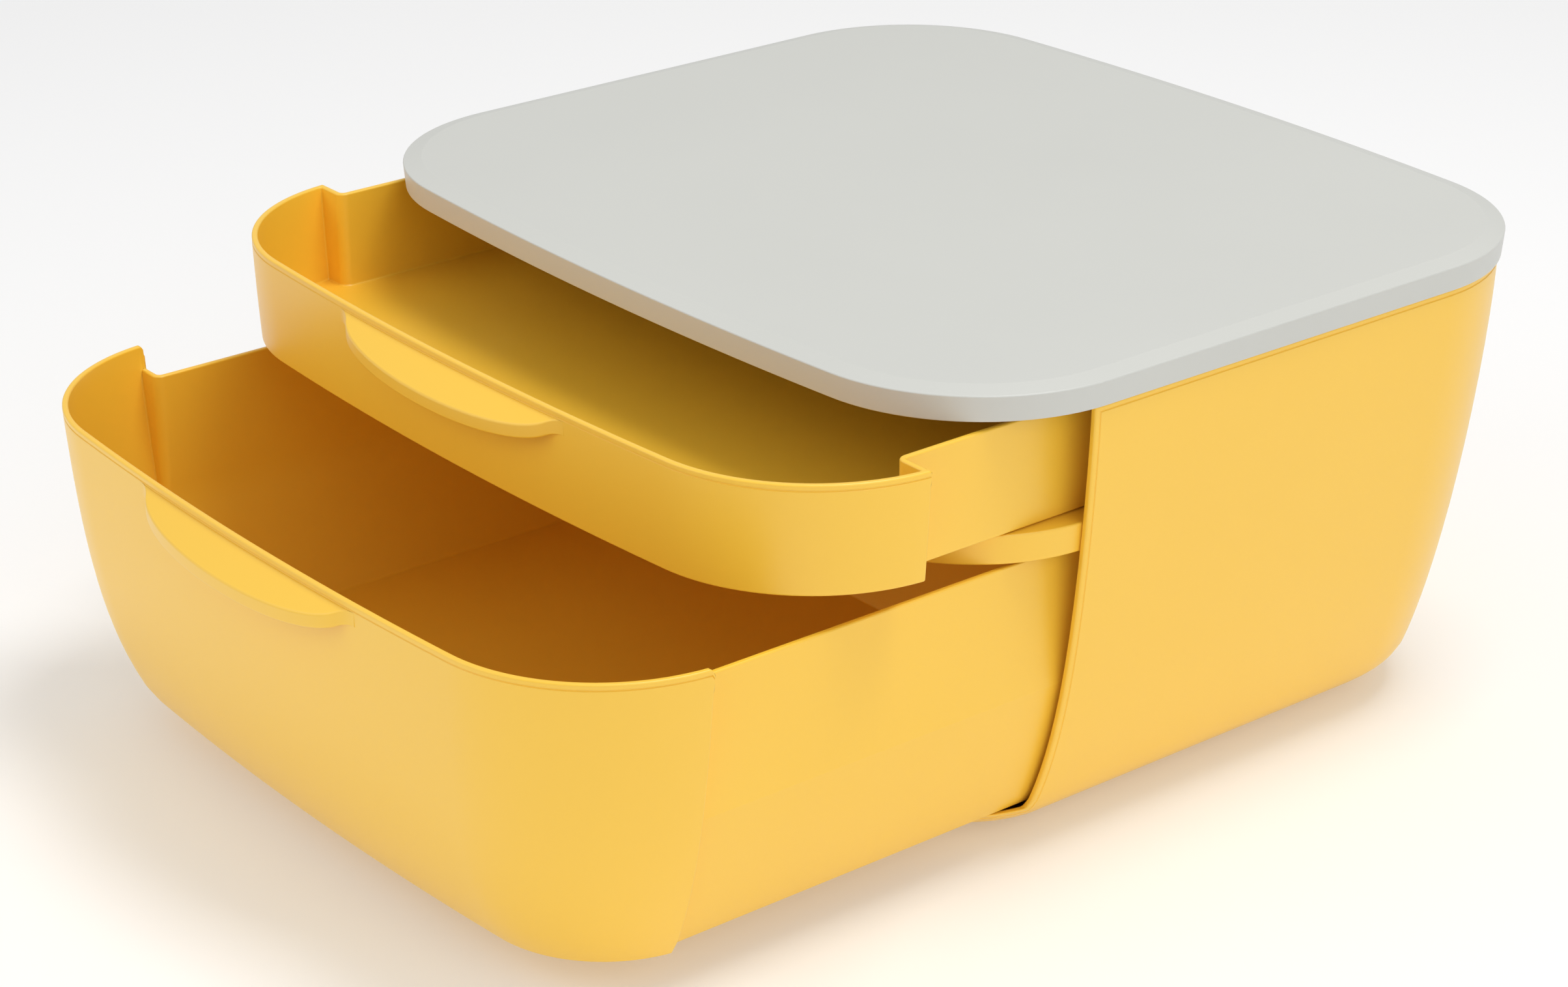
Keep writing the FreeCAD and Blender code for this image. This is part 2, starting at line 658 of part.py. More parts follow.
def make_foot(name, side, offset):
    """A rubber disc, half sunk in the recess under the base."""
    disc = post(name + "_disc", "dims.foot_diameter", foot_position(side, offset),
                ("0", "layout.BaseZ + dims.foot_recess"))
    doc.recompute()
    foot = doc.addObject("Part::Chamfer", name)
    foot.Base = disc
    bevel = float(sheet.get("foot_recess")) / 2
    lowest = min(range(len(disc.Shape.Edges)),
                 key=lambda index: disc.Shape.Edges[index].BoundBox.ZMax)
    foot.Edges = [(lowest + 1, bevel, bevel)]
    return foot


def make_screws(name, inset, seat):
    """Pan-head screws driven up through a lug or ledge: heads below it, shanks above."""
    screws = []
    for place_name, side, position in screw_positions(inset):
        shank = post("%s_shank_%s" % (name, place_name), "dims.screw_shank", position,
                     (seat, "(%s) + dims.screw_length - dims.hole_gap" % seat))
        head = post("%s_head_%s" % (name, place_name), "dims.screw_head", position,
                    ("(%s) - dims.screw_head_height" % seat, seat))
        screws.append(fuse("%s_%s" % (name, place_name), [shank, head]))
    group = doc.addObject("Part::Compound", name)
    group.Links = screws
    return group


nodes = [make_casing(), make_lid(), make_shelf(), make_upper_drawer(), make_lower_drawer()]
for foot_name, foot_side, foot_offset in FEET:
    nodes.append(make_foot(foot_name, foot_side, foot_offset))
nodes.append(make_screws("lid_screws", "dims.lid_screw_inset",
                         "layout.LugTopZ - dims.lug_thickness"))
nodes.append(make_screws("shelf_screws", "dims.shelf_screw_inset",
                         "layout.LedgeTopZ - dims.ledge_thickness"))
for node in nodes:
    node.Label = node.Name

doc.recompute()


# ---------------------------------------------------------------- check and write

def check_document():
    for item in doc.Objects:
        for state in item.State:
            if state in ("Invalid", "Error"):
                raise RuntimeError("%s is %s" % (item.Name, state))
    for node in nodes:
        if node.Shape.isNull() or not node.Shape.isValid():
            raise RuntimeError("%s has no valid shape" % node.Name)
        if not node.Shape.Solids:
            raise RuntimeError("%s holds no solid" % node.Name)


check_document()
os.makedirs("parts", exist_ok=True)
for node in nodes:
    node.Shape.exportStep(os.path.join("parts", node.Label + ".step"))
    print("%-18s solids %d  volume %.1f cm3" % (node.Label, len(node.Shape.Solids),
                                                node.Shape.Volume / 1000))
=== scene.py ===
"""File box with two wrap-round drawers: looks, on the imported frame.

Shapes are given in mm. The floor, the lights and the camera are in metres, as the frame is.
"""
import math

import bmesh
import bpy
from mathutils import Matrix, Vector


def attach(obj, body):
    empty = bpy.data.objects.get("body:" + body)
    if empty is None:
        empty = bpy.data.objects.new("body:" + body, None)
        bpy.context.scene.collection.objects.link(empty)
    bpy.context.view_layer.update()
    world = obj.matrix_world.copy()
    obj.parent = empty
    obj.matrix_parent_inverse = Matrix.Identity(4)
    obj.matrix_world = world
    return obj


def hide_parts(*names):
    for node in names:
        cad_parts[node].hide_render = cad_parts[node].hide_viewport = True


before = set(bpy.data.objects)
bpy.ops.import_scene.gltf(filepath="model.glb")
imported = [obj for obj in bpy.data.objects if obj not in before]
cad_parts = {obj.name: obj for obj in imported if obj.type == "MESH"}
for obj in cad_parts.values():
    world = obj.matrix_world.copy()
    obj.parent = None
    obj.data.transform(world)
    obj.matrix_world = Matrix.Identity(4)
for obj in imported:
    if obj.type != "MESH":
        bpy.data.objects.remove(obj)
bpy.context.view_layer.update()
MM = 0.001

# ------------------------------------------------------------ sizes shared with the CAD part
RIM_Z = 185.0
BOW = 1660.0
TUB_HEIGHT = 183.0
BASE_ROUND = 19.5
TUB_WALL = 2.7
DRAWER_WALL = 2.4
CUT_Y = -92.5
PANEL_Y = -93.0
STEP_Y = PANEL_Y - DRAWER_WALL
TRAY_OFFSET = 5.1
SILL_DROP = 168.6

# Half width, front reach, rear reach and corner radius: of the lid, of the tub at its rim, and
# how far each draws in towards the base, in a slow taper, a late curl and a round into the base.
LID_PLAN = (190.0, 163.2, 163.2, 71.25)
TUB_PLAN = (187.9, 161.1, 161.1, 69.15)
TAPER, TAPER_POWER = (20.0, 8.1, 18.4, 5.3), 1.5
CURL, CURL_POWER = (15.9, 25.8, 6.5, 24.5), 5.3
ROUND_IN = (19.5, 24.3, 34.9, 9.2)

# Drawers: depths of the front rim, the side rim and the base under the tub's rim, half width of
# the tray, how far the drawer stands open, and rows of faces from the side rim to the base.
UPPER = {"rim": 3.5, "side": 3.5, "base": 45.0, "half": 173.5, "open": 73.6, "rows": 6}
LOWER = {"rim": 49.7, "side": 58.9, "base": 168.2, "half": 172.0, "open": 162.9, "rows": 18}

# Small fittings that come in pairs: the x, y and z ranges of the right one. The ledge starts
# behind the shelf's lip, which hides it in the photograph.
LEDGE = ((174.4, 182.5), (CUT_Y + 9.0, 78.0), (125.0, 128.0))
FLOOR_RIB = ((88.5, 91.5), (-80.0, 80.0), (4.0, 16.4))
STOP_RIB = ((166.3, 175.9), (CUT_Y, CUT_Y + 3.0), (183.0, 194.6))
GUIDE = ((174.3, 176.8), (-60.0, 105.0), (138.0, 144.6))
SCREW_YS = (-55.0, 84.0)
LUG_X, LUG_HALF, LUG_Z = (175.9, 186.0), 5.0, (178.0, 181.0)
BOSS_RADIUS = 3.2
LID_BOSS_X, LID_BOSS_Z = 179.0, (181.0, 194.4)
SHELF_BOSS_X, SHELF_BOSS_Z = 177.2, (128.0, 138.4)

# The lid from its underside round its edge to its top, as inset and height, and the shelf from
# its top round its lip to its underside, as depth and inset.
LID_PROFILE = ((3.65, 193.8), (3.65, 185.0), (0.85, 185.0), (0.42, 190.0), (0.0, 194.8),
               (7.5, 196.6), (11.0, 196.6))
SHELF_PROFILE = ((45.4, 3.1), (49.0, 3.1), (53.0, 3.1), (57.0, 3.1), (57.0, 5.6), (53.0, 5.6),
                 (47.9, 5.6))

# Handle lip: a half ellipse in plan, sunk a little into the front, whose ends flare out flat.
LIP_HALF, LIP_REACH, LIP_SINK = 65.0, 11.5, 0.6
LIP_FLARE, LIP_END = 63.0, 70.8
LIP_START, LIP_DROP, LIP_EDGE, LIP_WALL = 2.8, 8.0, 5.3, 2.4
LIP_SLOPE = LIP_DROP / LIP_REACH
LIP_COLUMNS = 96
LIP_ROOT = 1.2          # how far the lip's root stands behind the face of the front
LIP_TUCK = 0.3          # how far its hidden ends and the top of its root lie under that face
LIP_ROOT_GAP = 0.05     # least distance between the hollow and the root
LIP_FULL_ROUND = 1.5    # reach from which the lip's edges are fully rounded

# ------------------------------------------------------------ finer details, in the scene alone
# Groove along the edges: distance from the edge, and share of the groove's depth there.
GROOVE = ((0.0, 0.0), (1.85, 0.0), (2.1, 1.0), (2.4, 1.0), (2.7, 0.0))
GROOVE_AT = [distance for distance, share in GROOVE]
GROOVE_DEPTH = 0.35
GROOVE_ROUNDING = [1.0] + [0.0] * (len(GROOVE) - 1)
CREASE = -1.0           # rounding of vertices along a line that stays crisp and isn't bevelled
LID_ROUNDING = [1.0] * 5 + [CREASE, 1.0]
RIM_END = 2.0           # round at the ends of a raised front rim
# Last stations of a drawer's front: up to the step, then closer over the round of the rim's end.
END_YS = (-99.0, -97.8, -96.5, STEP_Y, -94.9, -94.5, -94.0, PANEL_Y)
CASING_DROPS = [6, 14, 24, 36, 50, 64, 78, 92, 104, 116, 126, 135, 143, 150, 156, 160.5, 164.5,
                SILL_DROP]
DROP_UNDER_GROOVE = 6.0
STEP_FILLET, STEP_FILLET_INSIDE = 1.6, 4.0
FILLET_SHARE = 0.6      # the most of the step's width that its fillet takes
FILLET_STEPS = 6
BISECTIONS = 40

MERGE_DISTANCE = 2e-6   # in metres
SAME_POINT = 1e-4
SHARP_ANGLE = math.radians(32)
BEVEL_SEGMENTS = 4
SHADING_WEIGHT = 60


# ------------------------------------------------------------ plan sections and their stations
def tub(drop, offset):
    """Half width, front and rear reach, and corner radius of the tub at a depth under the rim."""
    t = (drop / TUB_HEIGHT) ** TAPER_POWER
    s = (drop / TUB_HEIGHT) ** CURL_POWER
    numbers = [rim - offset - taper * t - curl * s
               for rim, taper, curl in zip(TUB_PLAN, TAPER, CURL)]
    low = drop - (TUB_HEIGHT - BASE_ROUND)
    if low > 0:
        c = 1 - math.sqrt(max(0.0, 1 - min(1.0, low / (BASE_ROUND - offset)) ** 2))
        numbers = [number - (inwards - offset) * c
                   for number, inwards in zip(numbers, ROUND_IN)]
    return numbers


def section(numbers):
    """Arc centres and angles of a plan outline with these four numbers."""
    half, front, rear, corner = numbers
    reach = half - corner
    across = math.sqrt((BOW - corner) ** 2 - reach ** 2)
    return {"half": half, "corner": corner, "reach": reach,
            "front_centre": BOW - front, "rear_centre": BOW - rear,
            "front_y": across - (BOW - front), "rear_y": across - (BOW - rear),
            "bow_angle": math.asin(reach / (BOW - corner))}


# Each station is a function of a section that gives a point on the right half of its outline.
def front_bow(share):
    def point(s):
        a = s["bow_angle"] * share
        return BOW * math.sin(a), s["front_centre"] - BOW * math.cos(a)
    return point


def front_corner(share, y_end):
    def point(s):
        start = s["bow_angle"] - math.pi / 2
        end = math.asin(max(-1.0, min(0.0, (y_end + s["front_y"]) / s["corner"])))
        a = start + (end - start) * share
        return s["reach"] + s["corner"] * math.cos(a), -s["front_y"] + s["corner"] * math.sin(a)
    return point


def side_at(y):
    def point(s):
        over = -y - s["front_y"]
        if over <= 0:
            return s["half"], y
        return s["reach"] + math.sqrt(s["corner"] ** 2 - over ** 2), y
    return point


def corner_start(s, limit):
    """The x and the angle where the rear corner starts, or meets a narrower straight side."""
    x = s["half"] if limit is None else min(s["half"], limit)
    return x, math.acos(min(1.0, (x - s["reach"]) / s["corner"]))


def side_share(y_start, share, limit=None):
    """A share of the way along the side, from this y to where the rear corner starts."""
    def point(s):
        x, a = corner_start(s, limit)
        y_end = s["rear_y"] + s["corner"] * math.sin(a)
        return x, y_start + (y_end - y_start) * share
    return point


def rear_corner(share, limit=None):
    def point(s):
        start = corner_start(s, limit)[1]
        a = start + (math.pi / 2 - s["bow_angle"] - start) * share
        return s["reach"] + s["corner"] * math.cos(a), s["rear_y"] + s["corner"] * math.sin(a)
    return point


def rear_bow(share):
    def point(s):
        a = s["bow_angle"] * (1 - share)
        return BOW * math.sin(a), -s["rear_centre"] + BOW * math.cos(a)
    return point


def shares(count, first=False):
    return [i / count for i in range(0 if first else 1, count + 1)]


def front_stations(bow, corner, y_end):
    """From the middle of the front round its corner to this y, with a count for each stretch."""
    return [front_bow(s) for s in shares(bow, True)] + \
           [front_corner(s, y_end) for s in shares(corner)]


def rear_stations(y_start, side, corner, bow, limit=None, first=True):
    """From this y on the side to the middle of the rear, with a count for each stretch."""
    return [side_share(y_start, s, limit) for s in shares(side, first)] + \
           [rear_corner(s, limit) for s in shares(corner)] + \
           [rear_bow(s) for s in shares(bow)]


def row(stations, drop, offset):
    """The points of these stations at one depth; depth and offset may differ by station."""
    made = []
    for index, station in enumerate(stations):
        d = drop[index] if isinstance(drop, list) else drop
        w = offset[index] if isinstance(offset, list) else offset
        made.append((*station(section(tub(d, w))), RIM_Z - d))
    return made


def mirrored(points):
    return [(-x, y, z) for x, y, z in points]


def across_front(points):
    """A right half that starts at the middle of the front, made whole: left end to right end."""
    return mirrored(points[:0:-1]) + points


def across_rear(points):
    """A right half that ends at the middle of the rear, made whole: right end to left end."""
    return points + mirrored(points[-2::-1])


def all_round(points):
    """A right half from the middle of the front to the middle of the rear, made a closed loop."""
    return points + mirrored(points[-2:0:-1])


# ------------------------------------------------------------ meshes
class Builder:
    """Collects grids and faces, and merges what coincides."""

    def __init__(self):
        self.bm = bmesh.new()
        self.rounding = self.bm.verts.layers.float.new("rounding")

    def verts(self, points, rounding=1.0):
        """New vertices; rounding is one share of the edge rounding for all, or a list of them."""
        made = []
        for index, p in enumerate(points):
            v = self.bm.verts.new(Vector(p) * MM)
            v[self.rounding] = rounding[index] if isinstance(rounding, list) else rounding
            made.append(v)
        return made

    def face(self, points):
        """One face through these points, leaving out repeated ones."""
        clean = []
        for p in points:
            if not clean or (Vector(p) - Vector(clean[-1])).length > SAME_POINT:
                clean.append(p)
        if len(clean) > 2 and (Vector(clean[0]) - Vector(clean[-1])).length < SAME_POINT:
            clean.pop()
        if len(clean) > 2:
            self.bm.faces.new(self.verts(clean))

    def grid(self, rows, closed=False, rounding=None):
        """Faces between rows; rounding holds each row's share of the edge rounding."""
        made = [self.verts(points, rounding[index] if rounding else 1.0)
                for index, points in enumerate(rows)]
        for a, b in zip(made, made[1:]):
            count = len(a) if closed else len(a) - 1
            for i in range(count):
                j = (i + 1) % len(a)
                self.bm.faces.new((a[i], a[j], b[j], b[i]))

    def side_box(self, side, x, y, z):
        """A box between these ranges, on the right (side 1) or mirrored to the left (side -1)."""
        corners = [(i, j, k) for i in sorted((side * x[0], side * x[1])) for j in y for k in z]
        v = self.verts(corners)
        for f in ((0, 1, 3, 2), (4, 6, 7, 5), (0, 4, 5, 1), (2, 3, 7, 6), (0, 2, 6, 4),
                  (1, 5, 7, 3)):
            self.bm.faces.new([v[i] for i in f])

    def boss(self, x, y, z, count=24):
        """A round post for a screw, between two heights."""
        ring = [(x + BOSS_RADIUS * math.cos(2 * math.pi * i / count),
                 y + BOSS_RADIUS * math.sin(2 * math.pi * i / count)) for i in range(count)]
        rows = [[(px, py, level) for px, py in ring] for level in z]
        self.grid(rows, closed=True)
        self.face(rows[0])
        self.face(rows[-1])

    def finish(self, name, body, slot, material, nodes, bevel, shift=0.0):
        """Makes the piece, rounds its sharp edges by their share, and sets it on its body."""
        bm = self.bm
        bmesh.ops.remove_doubles(bm, verts=bm.verts, dist=MERGE_DISTANCE)
        bmesh.ops.recalc_face_normals(bm, faces=bm.faces)
        weight = bm.edges.layers.float.new("bevel_weight_edge")
        for edge in bm.edges:
            shares_here = [v[self.rounding] for v in edge.verts]
            if max(shares_here) == CREASE:
                edge.smooth = False
            elif len(edge.link_faces) == 2 and edge.calc_face_angle(0.0) > SHARP_ANGLE:
                edge[weight] = max(0.0, min(shares_here))
                edge.smooth = edge[weight] > 0
        for v in bm.verts:
            v.co.y += shift * MM
        for face in bm.faces:
            face.smooth = True
        mesh = bpy.data.meshes.new(name)
        bm.to_mesh(mesh)
        bm.free()
        piece = bpy.data.objects.new(name, mesh)
        bpy.context.scene.collection.objects.link(piece)
        mesh.materials.append(material)
        round_edges = piece.modifiers.new("round_edges", "BEVEL")
        round_edges.limit_method = "WEIGHT"
        round_edges.width = bevel * MM
        round_edges.segments = BEVEL_SEGMENTS
        round_edges.use_clamp_overlap = False
        round_edges.miter_outer = "MITER_ARC"
        even = piece.modifiers.new("even_shading", "WEIGHTED_NORMAL")
        even.keep_sharp = True
        even.weight = SHADING_WEIGHT
        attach(piece, body)
        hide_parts(*nodes)


# ------------------------------------------------------------ materials
PLASTIC_IOR = 1.5
GRAIN_DEPTH = 0.00006       # in metres
COAT_SMOOTHER = 0.08        # how much smoother the coat is than the plastic under it
YELLOW, YELLOW_DEEP = (0.97, 0.588, 0.046), (0.958, 0.578, 0.044)
GREY, GREY_DEEP = (0.605, 0.61, 0.572), (0.592, 0.597, 0.56)
RUBBER, RUBBER_DEEP = (0.03, 0.03, 0.032), (0.024, 0.024, 0.026)
STEEL = (0.62, 0.61, 0.59)


def new_material(name):
    """A material and its shader."""
    material = bpy.data.materials.new(name)
    material.use_nodes = True
    return material, material.node_tree.nodes["Principled BSDF"]


def noise(tree, place, scale, detail=2.0, roughness=0.5):
    """The value of a noise that is fixed to the piece."""
    node = tree.nodes.new("ShaderNodeTexNoise")
    node.inputs["Scale"].default_value = scale
    node.inputs["Detail"].default_value = detail
    node.inputs["Roughness"].default_value = roughness
    tree.links.new(place.outputs["Object"], node.inputs["Vector"])
    return node.outputs["Fac"]


def vary_gloss(tree, shader, value, low, high):
    """Roughness that follows a noise between two limits."""
    gloss = tree.nodes.new("ShaderNodeMapRange")
    gloss.inputs["To Min"].default_value = low
    gloss.inputs["To Max"].default_value = high
    tree.links.new(value, gloss.inputs["Value"])
    tree.links.new(gloss.outputs["Result"], shader.inputs["Roughness"])


def plastic(name, base, deep, roughness, grain, bump, coat=0.0):
    """Moulded plastic: fine spark-eroded grain, a faint drift of colour and of gloss."""
    material, shader = new_material(name)
    tree = material.node_tree
    place = tree.nodes.new("ShaderNodeTexCoord")
    colour = tree.nodes.new("ShaderNodeValToRGB")
    low, high = colour.color_ramp.elements
    low.position, low.color = 0.3, (*deep, 1)
    high.position, high.color = 0.7, (*base, 1)
    tree.links.new(noise(tree, place, scale=9.0, detail=3.0), colour.inputs["Fac"])
    tree.links.new(colour.outputs["Color"], shader.inputs["Base Color"])
    speckle = noise(tree, place, scale=grain, detail=4.0, roughness=0.6)
    vary_gloss(tree, shader, speckle, roughness - 0.05, roughness + 0.06)
    relief = tree.nodes.new("ShaderNodeBump")
    relief.inputs["Strength"].default_value = bump
    relief.inputs["Distance"].default_value = GRAIN_DEPTH
    tree.links.new(speckle, relief.inputs["Height"])
    tree.links.new(relief.outputs["Normal"], shader.inputs["Normal"])
    shader.inputs["IOR"].default_value = PLASTIC_IOR
    shader.inputs["Coat Weight"].default_value = coat
    shader.inputs["Coat Roughness"].default_value = roughness - COAT_SMOOTHER
    return material


def metal(name, base, roughness):
    """Plated metal with a fine uneven gloss."""
    material, shader = new_material(name)
    tree = material.node_tree
    shader.inputs["Metallic"].default_value = 1.0
    shader.inputs["Base Color"].default_value = (*base, 1)
    scratch = noise(tree, tree.nodes.new("ShaderNodeTexCoord"), scale=1800.0)
    vary_gloss(tree, shader, scratch, roughness - 0.08, roughness + 0.1)
    return material


yellow = plastic("yellow_plastic", YELLOW, YELLOW_DEEP, roughness=0.42, grain=2600.0, bump=0.35,
                 coat=0.5)
grey = plastic("grey_plastic", GREY, GREY_DEEP, roughness=0.38, grain=2400.0, bump=0.3)
rubber = plastic("foot_rubber", RUBBER, RUBBER_DEEP, roughness=0.75, grain=1400.0, bump=0.6)
steel = metal("screw_steel", STEEL, roughness=0.35)


# ------------------------------------------------------------ casing
def edge_distance(y, drop):
    """Distance over the surface from the rim, the upright front edge or the edge of the sill."""
    if drop <= SILL_DROP:
        return min(y - CUT_Y, drop)
    return max(0.0, y - CUT_Y, drop - SILL_DROP)


def in_groove(distance):
    """The share of the groove's depth at this distance from an edge."""
    for (near, share), (far, next_share) in zip(GROOVE, GROOVE[1:]):
        if near <= distance <= far:
            return share + (next_share - share) * (distance - near) / (far - near)
    return 0.0


def grooved(stations, drop):
    """Points of the casing's outside at one depth, let in along the groove, and their rounding."""
    distances = [edge_distance(y, drop) for x, y, z in row(stations, drop, 0.0)]
    points = row(stations, drop, [GROOVE_DEPTH * in_groove(d) for d in distances])
    near, far = GROOVE_AT[1] - 0.1, GROOVE_AT[-1] + 0.1
    return points, [0.0 if near < d < far else 1.0 for d in distances]


def base_drops(start_drop, offset, count, first=False):
    """Depths down the round into the base, in even steps of its angle, from a depth on it."""
    top, radius = TUB_HEIGHT - BASE_ROUND, BASE_ROUND - offset
    start = math.asin((start_drop - top) / radius)
    return [top + radius * math.sin(start + (math.pi / 2 - start) * s)
            for s in shares(count, first)]


def make_casing():
    piece = Builder()
    front = front_stations(bow=16, corner=22, y_end=CUT_Y)
    rear = [side_at(CUT_Y + distance) for distance in GROOVE_AT] + \
        rear_stations(CUT_Y + 8.0, side=8, corner=16, bow=10)
    whole = front[:-1] + rear

    drops = GROOVE_AT + CASING_DROPS
    made = [grooved(rear, d) for d in drops]
    rows = [points for points, rounding in made]
    piece.grid([across_rear(r) for r in rows],
               rounding=[rounding + rounding[-2::-1] for points, rounding in made])
    inner_rows = [row(rear, d, TUB_WALL) for d in drops]
    piece.grid([across_rear(r) for r in inner_rows])
    # rim, sill and the two upright front edges
    piece.grid([across_rear(rows[0]), across_rear(inner_rows[0])])
    piece.grid([across_front(row(front, SILL_DROP, offset)) for offset in (0.0, TUB_WALL)])
    upright = [[r[0] for r in rows], [r[0] for r in inner_rows]]
    piece.grid(upright)
    piece.grid([mirrored(points) for points in upright])
    # lower part, all round, into the base and the floor
    drops = [SILL_DROP + distance for distance in GROOVE_AT] + \
        base_drops(SILL_DROP + GROOVE_AT[-1], 0.0, 9)
    made = [grooved(whole, d) for d in drops]
    low = [all_round(points) for points, rounding in made]
    piece.grid(low, closed=True,
               rounding=[rounding + rounding[-2:0:-1] for points, rounding in made])
    piece.face(low[-1])
    low = [all_round(row(whole, d, TUB_WALL)) for d in base_drops(SILL_DROP, TUB_WALL, 8, True)]
    piece.grid(low, closed=True)
    piece.face(low[-1])
    # ledges under the shelf, lugs for the lid's screws, ribs on the floor
    for side in (-1, 1):
        piece.side_box(side, *LEDGE)
        for y in SCREW_YS:
            piece.side_box(side, LUG_X, (y - LUG_HALF, y + LUG_HALF), LUG_Z)
        piece.side_box(side, *FLOOR_RIB)
    return piece


make_casing().finish("casing_moulding", "box", "yellow_casing", yellow, ["casing"], bevel=0.9)


# ------------------------------------------------------------ lid
def make_lid():
    piece = Builder()
    whole = front_stations(bow=16, corner=24, y_end=0.0) + \
        rear_stations(-85.0, side=6, corner=24, bow=16)
    rows = []
    for inset, z in LID_PROFILE:
        plan = section([number - inset for number in LID_PLAN])
        rows.append(all_round([(*station(plan), z) for station in whole]))
    piece.grid(rows, closed=True, rounding=LID_ROUNDING)
    piece.face(rows[0])
    piece.face(rows[-1])
    # ribs that stop the upper drawer, and bosses for the screws
    for side in (-1, 1):
        piece.side_box(side, *STOP_RIB)
        for y in SCREW_YS:
            piece.boss(side * LID_BOSS_X, y, LID_BOSS_Z)
    return piece


make_lid().finish("lid_moulding", "box", "grey_lid", grey, ["lid"], bevel=0.5)


# ------------------------------------------------------------ shelf
def make_shelf():
    piece = Builder()
    whole = front_stations(bow=16, corner=22, y_end=0.0) + \
        rear_stations(-82.0, side=6, corner=14, bow=8)
    rows = [all_round(row(whole, drop, inset)) for drop, inset in SHELF_PROFILE]
    piece.grid(rows, closed=True)
    piece.face(rows[0])
    piece.face(rows[-1])
    # guides beside the upper drawer, and bosses for the screws
    for side in (-1, 1):
        piece.side_box(side, *GUIDE)
        for y in SCREW_YS:
            piece.boss(side * SHELF_BOSS_X, y, SHELF_BOSS_Z)
    return piece


make_shelf().finish("shelf_moulding", "box", "yellow_shelf", yellow, ["shelf"], bevel=0.8)


# ------------------------------------------------------------ drawers
def rim_end(y):
    """How far the raised rim has dropped at this y, on the round at its end."""
    over = y - (PANEL_Y - RIM_END)
    if over <= 0:
        return 0.0
    return RIM_END - math.sqrt(max(0.0, RIM_END ** 2 - over ** 2))


def bend_drop(half):
    """The depth at which the tub, let in by the tray's clearance, is as narrow as the tray."""
    near, far = 0.0, TUB_HEIGHT - BASE_ROUND
    for _ in range(BISECTIONS):
        middle = (near + far) / 2
        if tub(middle, TRAY_OFFSET)[0] > half:
            near = middle
        else:
            far = middle
    return near


def tray(drop, half, inner=False):
    """Points from beside the front's end along the step, then the tray's side and its rear."""
    wall = DRAWER_WALL if inner else 0.0
    y_step = STEP_Y if inner else PANEL_Y
    body = section(tub(drop, TRAY_OFFSET + wall))
    x_start = side_at(y_step)(section(tub(drop, DRAWER_WALL)))[0]
    x_side = min(half - wall, body["half"])
    z = RIM_Z - drop
    r = min(STEP_FILLET_INSIDE if inner else STEP_FILLET, (x_start - x_side) * FILLET_SHARE)
    made = [(x_start, y_step, z), (x_start + (x_side + r - x_start) * 0.5, y_step, z)]
    for i in range(FILLET_STEPS + 1):
        a = -math.pi / 2 - math.pi / 2 * i / FILLET_STEPS
        made.append((x_side + r + r * math.cos(a), y_step + r + r * math.sin(a), z))
    stations = rear_stations(y_step + r, side=10, corner=14, bow=8, limit=half - wall,
                             first=False)
    return made + [(*station(body), z) for station in stations]


